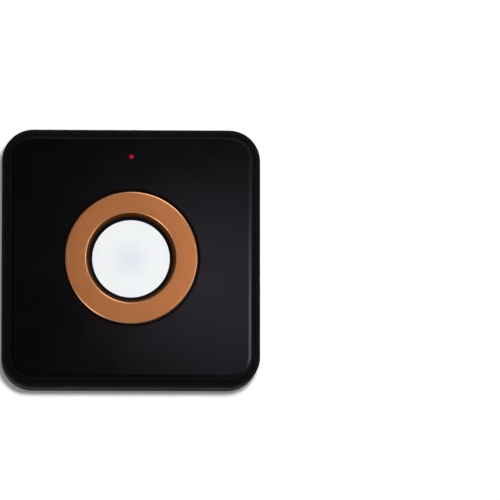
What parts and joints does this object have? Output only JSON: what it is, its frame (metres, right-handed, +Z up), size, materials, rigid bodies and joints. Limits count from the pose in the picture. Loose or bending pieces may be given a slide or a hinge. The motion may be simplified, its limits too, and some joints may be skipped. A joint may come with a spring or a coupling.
{
  "type": "solar power meter",
  "caption": "Square puck-shaped wireless sunlight meter: metal ring round a recessed white diffuser, status light, side power button, bayonet battery door and tripod socket underneath.",
  "frame": {"origin": "middle of the rectangle that the meter stands on, at the level of the feet's treads", "axes": "+Z up out of the face, the way the diffuser looks; +Y towards the side that holds the power button and the status light; +X to the right when the face is looked at with the button side away from the viewer"},
  "size_m": [0.07, 0.07, 0.0192],
  "materials": {
    "case_plastic": "fine matte moulded texture, near black",
    "ring_metal": "fine bead-blasted and anodised copper colour, with cut chamfers",
    "diffuser_plastic": "white opal diffuser with a satin face",
    "seal_rubber": "soft matte silicone",
    "inner_plastic": "dull black moulding",
    "screw_steel": "zinc-plated steel",
    "filter_glass": "polished filter glass",
    "ceramic_body": "matte ceramic",
    "board_laminate": "green solder mask over glass laminate",
    "tin_plate": "tin-plated sheet",
    "chip_plastic": "moulded epoxy",
    "lamp_lens": "clear red lens on a pale carrier",
    "light_pipe_plastic": "clear rod lit red from below",
    "plunger_plastic": "smooth acetal",
    "button_plastic": "matte moulded black",
    "cell_steel": "nickel-plated steel can",
    "contact_brass": "gold-plated spring strip",
    "foot_rubber": "matte rubber",
    "insert_brass": "turned brass"
  },
  "bodies": {
    "case": {"top_cover": "case_plastic", "accent_ring": "ring_metal", "diffuser": "diffuser_plastic", "diffuser_seal": "seal_rubber", "sensor_holder": "inner_plastic", "holder_screws": "screw_steel", "optical_filter": "filter_glass", "photodiode": "ceramic_body", "circuit_board": "board_laminate", "board_screws": "screw_steel", "radio_module": "board_laminate", "radio_shield": "tin_plate", "microcontroller": "chip_plastic", "amplifier": "chip_plastic", "crystal": "tin_plate", "chip_components": "ceramic_body", "indicator_led": "lamp_lens", "light_pipe": "light_pipe_plastic", "tact_switch": "chip_plastic", "button_seal": "seal_rubber", "coin_cell": "cell_steel", "battery_contact_plus": "contact_brass", "battery_contact_minus": "contact_brass", "base_plate": "case_plastic", "case_gasket": "seal_rubber", "case_screws": "screw_steel", "rubber_feet": "foot_rubber", "tripod_insert": "insert_brass"},
    "door": {"battery_door": "button_plastic", "door_seal": "seal_rubber"},
    "button": {"power_button": "button_plastic"},
    "plunger": {"switch_plunger": "plunger_plastic"}
  },
  "joints": [
    {"name": "door_turn", "type": "hinge", "parent": "case", "child": "door", "pos_m": [0, -0.0186, 0.0008], "axis": [0, 0, -1], "range_deg": [0, 50]},
    {"name": "button_press", "type": "slide", "parent": "case", "child": "button", "axis": [0, -1, 0], "range_m": [0, 0.0004], "stiffness_N_per_m": 1500},
    {"name": "plunger_press", "type": "slide", "parent": "case", "child": "plunger", "axis": [0, -1, 0], "range_m": [0, 0.0004]}
  ],
  "couplings": [
    {"joint": "plunger_press", "follows": "button_press", "ratio": 1}
  ]
}
